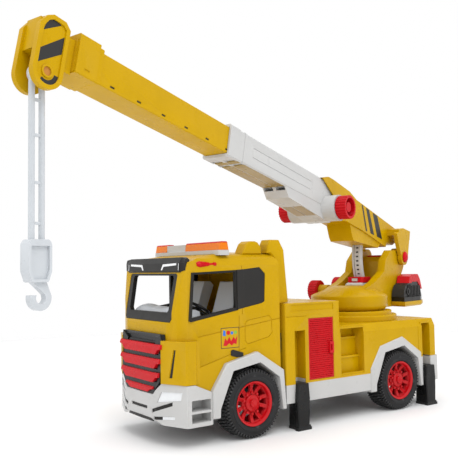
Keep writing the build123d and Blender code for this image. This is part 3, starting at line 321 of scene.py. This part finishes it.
def tyre(end, side):
    """Crowned tyre with side-wall steps, shoulder lugs and two rows of centre blocks."""
    half = TYRE_WIDTH / 2
    base = TYRE_R - 0.0022
    wall = [(RIM_R - 0.0004, half - 0.0035), (RIM_R + 0.0012, half - 0.0008), (0.0290, half),
            (0.0312, half - 0.0002), (0.0316, half - 0.0009), (0.0345, half - 0.0012), (0.0362, half - 0.0022),
            (base - 0.0006, half - 0.0052), (base, half - 0.0085)]
    profile = wall + [(r, -y) for r, y in reversed(wall)]
    work = bmesh.new()
    tyre_ring(work, profile, 96)
    step = 2 * math.pi / LUGS
    for k in range(LUGS):
        turn = k * step
        for sign in (-1, 1):
            lug(work, turn, step * 0.30, sign * (half - 0.0082), sign * (half - 0.0046), 0.0, base - 0.001,
                TYRE_R - 0.0006)
            lug(work, turn + step / 2, step * 0.26, sign * (half - 0.0044), sign * (half - 0.0020), 0.0,
                0.0352, TYRE_R - 0.0014)
            lug(work, turn + step / 2, step * 0.34, sign * 0.0006, sign * 0.0078, sign * 0.06, base - 0.001,
                TYRE_R - 0.0001)
    bmesh.ops.recalc_face_normals(work, faces=work.faces)
    node = f"tyre_{end}_{side}"
    low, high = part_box(node)
    centre = (low + high) / 2
    work.transform(Matrix.Translation(centre))
    mesh = bpy.data.meshes.new(node + "_tread")
    work.to_mesh(mesh)
    work.free()
    obj = bpy.data.objects.new(node + "_tread", mesh)
    finish_mesh(obj, f"wheel_{end}_{side}", "tyre", edge=0.0002, angle=38.0)
    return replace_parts(obj, node)


# ---- markings ------------------------------------------------------------------
PRINT_BLACK = plastic("black print", (0.012, 0.011, 0.010), 0.45, grain=0.02, wear=0.0)
PRINT_WHITE = plastic("white print", (0.85, 0.86, 0.87), 0.4, grain=0.02, wear=0.0)
PRINT_BLUE = plastic("blue print", (0.02, 0.16, 0.62), 0.4, grain=0.02, wear=0.0)
PRINT_GREEN = plastic("green print", (0.22, 0.45, 0.03), 0.4, grain=0.02, wear=0.0)
# yellow seen under the boom, darkened to ochre as painted shade
SHADED_YELLOW = plastic("yellow panel with painted shade", (0.30, 0.19, 0.018), 0.30, grain=0.1, Specular_IOR_Level=0.4)
# the tip pin's end: yellow darkened to orange as painted shade for the shaded hole at the boom's tip
SHADED_YELLOW_PIN = plastic("pin end with painted shade", (0.52, 0.20, 0.004), 0.32, Specular_IOR_Level=0.25)


def hazard_stripes():
    """Three slanted black stripes on each side of the boom's root."""
    slope = 0.0725  # of the root's top edge
    for sign, side in SIDES:
        place = on_boom_side(sign)
        for index, (top, bottom, width_top, width_bottom) in enumerate(
                ((-4.0, -23.0, 4.5, 5.0), (-18.5, -39.0, 10.5, 12.5), (-41.5, -61.5, 16.5, 18.5))):
            outline = [(top, 12.4 + top * slope), (top - width_top, 12.4 + (top - width_top) * slope),
                       (bottom - width_bottom, -23.6), (bottom, -23.2)]
            prism(f"boom_stripe_{side}_{index}", millimetres(outline), place, BASE_HALF_WIDTH - 0.2 * MM,
                  BASE_HALF_WIDTH + 0.12 * MM, "boom", "black", PRINT_BLACK)


def head_stripes():
    """Black patches in the recessed faces of the boom head's cheeks."""
    patches = {
        "top": [(567.4, 7.0), (564.8, 15.5), (560.8, 20.6), (555.0, 21.0), (550.6, 18.9)],
        "middle": [(545.5, 10.4), (567.6, -9.4), (567.6, -22.0), (545.5, -5.4)],
        "foot": arc((556.8, -26.0), 11.6, -178, -58, 14) + arc((556.8, -26.0), 7.4, -58, -178, 14),
    }
    for sign, side in SIDES:
        for name, outline in patches.items():
            prism(f"head_stripe_{side}_{name}", millimetres(outline), on_boom_side(sign), CHEEK_FLOOR,
                  CHEEK_FLOOR + 0.22 * MM, "inner_boom", "black", PRINT_BLACK)


def visor_marks():
    """White angular light marks on the visor's front, and a line beside each end cap."""
    def on_visor(y, z, depth):
        x = (337.62 + depth - (z / MM - 195) / 9.0) * MM
        return Vector((x - VISOR_BACK * (x - VISOR_REAR) / VISOR_DEPTH, y, z))

    hook = [(21.5, 196.4), (24.0, 196.0), (27.5, 200.2), (55.5, 201.6), (55.5, 203.9), (25.5, 202.9)]
    line = [(60.2, 195.8), (61.0, 195.8), (61.0, 203.6), (60.2, 203.6)]
    for sign, side in SIDES:
        for name, outline in (("hook", hook), ("line", line)):
            points = [(sign * y * MM, z * MM) for y, z in outline]
            prism(f"visor_mark_{side}_{name}", points, on_visor, -0.5, 0.15, "truck", "white", PRINT_WHITE)


def door_badges():
    """A printed square on each door: black border, yellow field and coloured shapes."""
    x0, x1, z0, z1 = 257.4, 283.0, 106.0, 129.5
    width, height = x1 - x0, z1 - z0

    def inset(margin):
        return [(x0 + margin, z0 + margin), (x1 - margin, z0 + margin), (x1 - margin, z1 - margin),
                (x0 + margin, z1 - margin)]

    def local(points):
        return [(x1 - a * width, z0 + b * height) for a, b in points]

    peaks = [(0.12, 0.14), (0.22, 0.50), (0.33, 0.36), (0.45, 0.56), (0.55, 0.34), (0.68, 0.54),
             (0.78, 0.40),
             (0.90, 0.58), (0.84, 0.16), (0.70, 0.22), (0.58, 0.12), (0.44, 0.24), (0.30, 0.12)]
    disc = arc((0.40, 0.75), 0.105, 0, 345, 23)
    wedge = [(0.10, 0.62), (0.26, 0.60), (0.24, 0.86), (0.12, 0.88)]
    drop = arc((0.60, 0.73), 0.085, 0, 300, 5)
    leaf = arc((0.79, 0.75), 0.095, 30, 330, 5)
    layers = [("border", inset(0.0), 0.10, PRINT_BLACK), ("field", inset(0.7), 0.16, LOOKS["yellow"]),
              ("peaks", local(peaks), 0.22, LOOKS["red"]), ("disc", local(disc), 0.22, LOOKS["red"]),
              ("wedge", local(wedge), 0.22, PRINT_BLUE), ("drop", local(drop), 0.22, PRINT_BLUE),
              ("leaf", local(leaf), 0.22, PRINT_GREEN)]
    for sign, side in SIDES:
        for name, outline, proud, look in layers:
            prism(f"door_badge_{side}_{name}", millimetres(outline), on_cab_side(sign), CAB_SIDE - 0.3 * MM,
                  CAB_SIDE + proud * MM, "truck", "black" if look is PRINT_BLACK else "red", look)


def sole_panels():
    """Yellow panels under the sleeve and under its gear housing, darkened to a brownish ochre as painted
    shade.
    """
    def under_sleeve(u, w, depth):
        return BOOM_FRAME @ Vector((u, w, -depth))

    def under_housing(u, w, depth):
        return BOOM_FRAME @ Vector((u, w, -0.0315 - (0.150 - u) * 0.0658 - depth))

    def panel(name, ends, inner, outer, place, near, far):
        for sign, side in SIDES:
            outline = [(ends[0], sign * inner), (ends[1], sign * inner), (ends[1], sign * outer),
                       (ends[0], sign * outer)]
            prism(f"{name}_{side}", millimetres(outline), place, near * MM, far * MM, "boom", "yellow",
                  SHADED_YELLOW, edge=0.0002)

    panel("sole_panel", (196, 281), 0.6, 15.9, under_sleeve, 17.2, 18.55)
    panel("sole_panel_front", (287.5, 295), 0.6, 15.9, under_sleeve, 17.2, 18.55)
    panel("housing_panel", (113, 149), 0.8, 14.6, under_housing, -0.3, 0.3)
    panel("housing_tab", (196.5, 200), 0.4, 6.0, under_sleeve, 17.2, 18.9)


def lens_caps():
    """Dark red upper strips on the two amber lamps."""
    section = [(270.4, 227.0), (271.9, 228.6), (279.3, 228.6), (280.8, 227.0)]

    def place(x, z, depth):
        return Vector((x, depth, z))

    for name, y0, y1 in (("long", -0.6, 74.7), ("short", -74.7, -45.4)):
        prism(f"lamp_strip_{name}", millimetres(section), place, y0 * MM, y1 * MM, "truck", "red",
              LOOKS["red"], edge=0.0003)


def window_posts():
    """Black strips that join each side window's surround to the closed pane behind it."""
    outline = [(249.4, 151.0), (258.3, 149.6), (258.7, 195.4), (249.4, 196.1)]
    edge = [(258.1, 149.2), (259.0, 149.1), (259.4, 195.5), (258.5, 195.6)]
    for sign, side in SIDES:
        prism(f"window_post_{side}", millimetres(outline), on_cab_side(sign), CAB_SIDE - 1.5 * MM,
              CAB_SIDE + 0.25 * MM,
              "truck", "dark", edge=0.0002)
        prism(f"window_post_lip_{side}", millimetres(edge), on_cab_side(sign), CAB_SIDE - 1.5 * MM,
              CAB_SIDE + 0.5 * MM,
              "truck", "dark", edge=0.0002)


def boom_slot_shade():
    """Dark floors in the small slots along the telescoping beam, painted shade in the slots."""
    for sign, side in SIDES:
        for k in range(6):
            u = 312 + 34.6 * k
            outline = [(u, -12.6), (u + 5.5, -12.6), (u + 5.5, -10.6), (u, -10.6)]
            prism(f"beam_slot_shade_{side}_{k}", millimetres(outline), on_boom_side(sign),
                  BEAM_HALF_WIDTH - 0.9 * MM, BEAM_HALF_WIDTH - 0.55 * MM, "inner_boom", "dark")


def rack_ticks():
    """Dark floors in the rack's ratchet notches, painted shade in the notches, and a dark line beside them."""
    body = frame["nodes"]["lift_rack"]["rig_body"]
    hinge = Vector(HINGE)

    def on_rack(turn, y, radius):
        return TURRET_FRAME @ (hinge + Vector((radius * math.cos(turn), y, radius * math.sin(turn))))

    # painted shade: dark floors down in the notches
    for k in range(16):
        middle = math.radians(14 - 4.4 * k)
        half = 1.25 / 86.0
        outline = [(middle - half, -0.25 * MM), (middle + half, -0.25 * MM), (middle + half, 3.85 * MM),
                   (middle - half, 3.85 * MM)]
        prism(f"rack_tick_{k}", outline, on_rack, RACK_OUTER - 1.5 * MM, RACK_OUTER - 1.0 * MM, body, "dark")
    for k in range(26):
        turn = math.radians(16 - 2.84 * k)
        half = math.radians(1.42)
        outline = [(turn - half, -3.4 * MM), (turn + half, -3.4 * MM), (turn + half, -2.7 * MM),
                   (turn - half, -2.7 * MM)]
        prism(f"rack_line_{k}", outline, on_rack, RACK_OUTER - 0.3 * MM, RACK_OUTER + 0.06 * MM, body, "dark")


def dash_cowl():
    """The lumpy top of the dashboard behind the windscreen."""
    stations = [(-53, 0.0), (-49, 5.0), (-38, 7.5), (-24, 6.0), (-12, 3.5), (0, 5.5), (12, 3.0), (24, 6.5),
                (38, 8.5), (49, 6.0), (53, 0.0)]
    verts = []
    for y, rise in stations:
        verts += [(299 * MM, y * MM, 141 * MM), (302 * MM, y * MM, (147 + rise * 0.7) * MM),
                  (311 * MM, y * MM, (149 + rise) * MM),
                  (322 * MM, y * MM, (147.5 + rise) * MM), (327 * MM, y * MM, (145 + rise * 0.5) * MM),
                  (328 * MM, y * MM, 141 * MM)]
    faces = []
    for k in range(len(stations) - 1):
        for i in range(6):
            j = (i + 1) % 6
            faces.append((6 * k + i, 6 * k + j, 6 * k + 6 + j, 6 * k + 6 + i))
    faces += [tuple(range(5, -1, -1)), tuple(6 * (len(stations) - 1) + i for i in range(6))]
    obj = from_faces("dash_cowl", verts, faces)
    smooth = obj.modifiers.new("rounding", "SUBSURF")
    smooth.levels = smooth.render_levels = 2
    return finish_mesh(obj, "truck", "grey", angle=60)


def visor():
    """The visor, set back against the cab and its two ends drawn in round the corners."""
    obj = moulded("visor")
    front, end_depth = 0.329, 0.015
    for vertex in obj.data.vertices:
        vertex.co.x -= VISOR_BACK * max(0, (vertex.co.x - VISOR_REAR) / VISOR_DEPTH)
        past = abs(vertex.co.y) - VISOR_HALF_FRONT
        if past > 0:
            vertex.co.y = math.copysign(VISOR_HALF_FRONT + past * 0.6, vertex.co.y)
            vertex.co.x += past * 0.45 * (front - vertex.co.x) / end_depth
    return obj


def front_bumper():
    """The bumper with the wall in front of its two entry steps cut away."""
    obj = moulded("front_bumper")
    for sign, side in SIDES:
        for z0, z1 in ((28.5, 38.5), (41.0, 53.0)):
            outline = [(299.4, z0), (324.6, z0), (324.6, z1), (299.4, z1)]
            cutter = prism("cutter", millimetres(outline), on_cab_side(sign), 74.0 * MM, 83.0 * MM, "truck",
                           "white")
            trim = obj.modifiers.new("step opening", "BOOLEAN")
            trim.object = cutter
            trim.solver = "EXACT"
            obj.modifiers.move(len(obj.modifiers) - 1, 0)
            apply_first(obj, cutter)


def apply_first(obj, cutter):
    """Applies the piece's first modifier and removes the cutter that it used."""
    rounded = obj.modifiers["rounded edges"]
    rounded.show_viewport = False
    bpy.context.view_layer.update()
    result = bpy.data.meshes.new_from_object(obj.evaluated_get(bpy.context.evaluated_depsgraph_get()))
    rounded.show_viewport = True
    obj.modifiers.remove(obj.modifiers[0])
    obj.data = result
    bpy.data.objects.remove(cutter)


# ---- scene ---------------------------------------------------------------------
def area_light(name, place, target, size, power, colour=(1, 1, 1)):
    data = bpy.data.lights.new(name, "AREA")
    data.shape = "RECTANGLE"
    data.size, data.size_y = size
    data.energy = power
    data.color = colour
    lamp = bpy.data.objects.new(name, data)
    lamp.location = place
    lamp.rotation_euler = (Vector(target) - Vector(place)).to_track_quat("-Z", "Y").to_euler()
    bpy.context.scene.collection.objects.link(lamp)


def sky(tree):
    """White near the horizon and dimmer overhead, so that the panels shape the object."""
    background = tree.nodes["Background"]
    coords = tree.nodes.new("ShaderNodeTexCoord")
    split = tree.nodes.new("ShaderNodeSeparateXYZ")
    tree.links.new(coords.outputs["Generated"], split.inputs["Vector"])
    height = spread(tree, split.outputs["Z"], 1.0, SKY_DIM, 0.42, 0.75)
    tree.links.new(height, background.inputs["Strength"])
    background.inputs["Color"].default_value = (1, 1, 1, 1)


def studio():
    """Pale floor, a bright even sky and three soft panels."""
    world = bpy.data.worlds.new("studio")
    world.use_nodes = True
    sky(world.node_tree)
    bpy.context.scene.world = world
    bpy.context.scene.view_settings.view_transform = "Standard"
    rim = [(0.15 + FLOOR_RADIUS * math.cos(math.radians(a)), FLOOR_RADIUS * math.sin(math.radians(a)),
            0) for a in range(0, 360, 6)]
    floor = from_faces("floor", rim, [tuple(range(60))])
    bpy.context.scene.collection.objects.link(floor)
    material, tree, principled = shader("floor", (0.90, 0.90, 0.90), 0.8, Specular_IOR_Level=0.1)
    tint_factor = spread(tree, noise_node(tree, 3.0), 0.0, 1.0)
    tree.links.new(tint(tree, (0.90, 0.90, 0.90), (0.885, 0.885, 0.89), tint_factor),
                   principled.inputs["Base Color"])
    floor.data.materials.append(material)
    middle = (0.15, 0.0, 0.18)
    area_light("key", (0.7, 1.5, 1.9), middle, (1.0, 1.0), 16)
    area_light("front fill", (1.9, -0.2, 0.9), middle, (1.0, 1.0), 4)
    area_light("top", (-0.1, 0.1, 2.0), middle, (2.4, 2.0), 24)


def camera():
    """The photograph's viewing angle: low, from the truck's front left."""
    yaw, pitch, roll = (math.radians(angle) for angle in (35.39, 3.36, -0.85))
    forward = Vector((-math.sin(yaw) * math.cos(pitch), -math.cos(yaw) * math.cos(pitch), math.sin(pitch)))
    flat_right = forward.cross(Vector((0, 0, 1))).normalized()
    flat_up = flat_right.cross(forward)
    right = flat_right * math.cos(roll) + flat_up * math.sin(roll)
    up = flat_up * math.cos(roll) - flat_right * math.sin(roll)
    data = bpy.data.cameras.new("camera")
    data.lens = 52.75
    data.sensor_width = 36.0
    data.clip_start = 0.01
    obj = bpy.data.objects.new("camera", data)
    rotation = Matrix((right, up, -forward)).transposed().to_4x4()
    obj.matrix_world = Matrix.Translation((0.71869, 0.70879, 0.19715)) @ rotation
    bpy.context.scene.collection.objects.link(obj)
    bpy.context.scene.camera = obj


def main():
    plain = {"axles", "slew_post", "pinion_shaft", "tip_pin"}
    for node in sorted(frame["nodes"]):
        if node.startswith("tyre_") or node in ("visor", "front_bumper"):
            continue
        if node in plain:
            mesh = frame["nodes"][node].data
            mesh.materials.clear()
            # the tip pin gets yellow darkened to orange as painted shade
            mesh.materials.append(SHADED_YELLOW_PIN if node == "tip_pin" else LOOKS[SLOT_OF[node]])
        else:
            moulded(node, EDGES.get(node, EDGE))
    visor()
    front_bumper()
    for end in ("front", "rear"):
        for side in ("left", "right"):
            tyre(end, side)
    hazard_stripes()
    head_stripes()
    visor_marks()
    door_badges()
    sole_panels()
    lens_caps()
    window_posts()
    boom_slot_shade()
    rack_ticks()
    dash_cowl()
    studio()
    camera()


main()
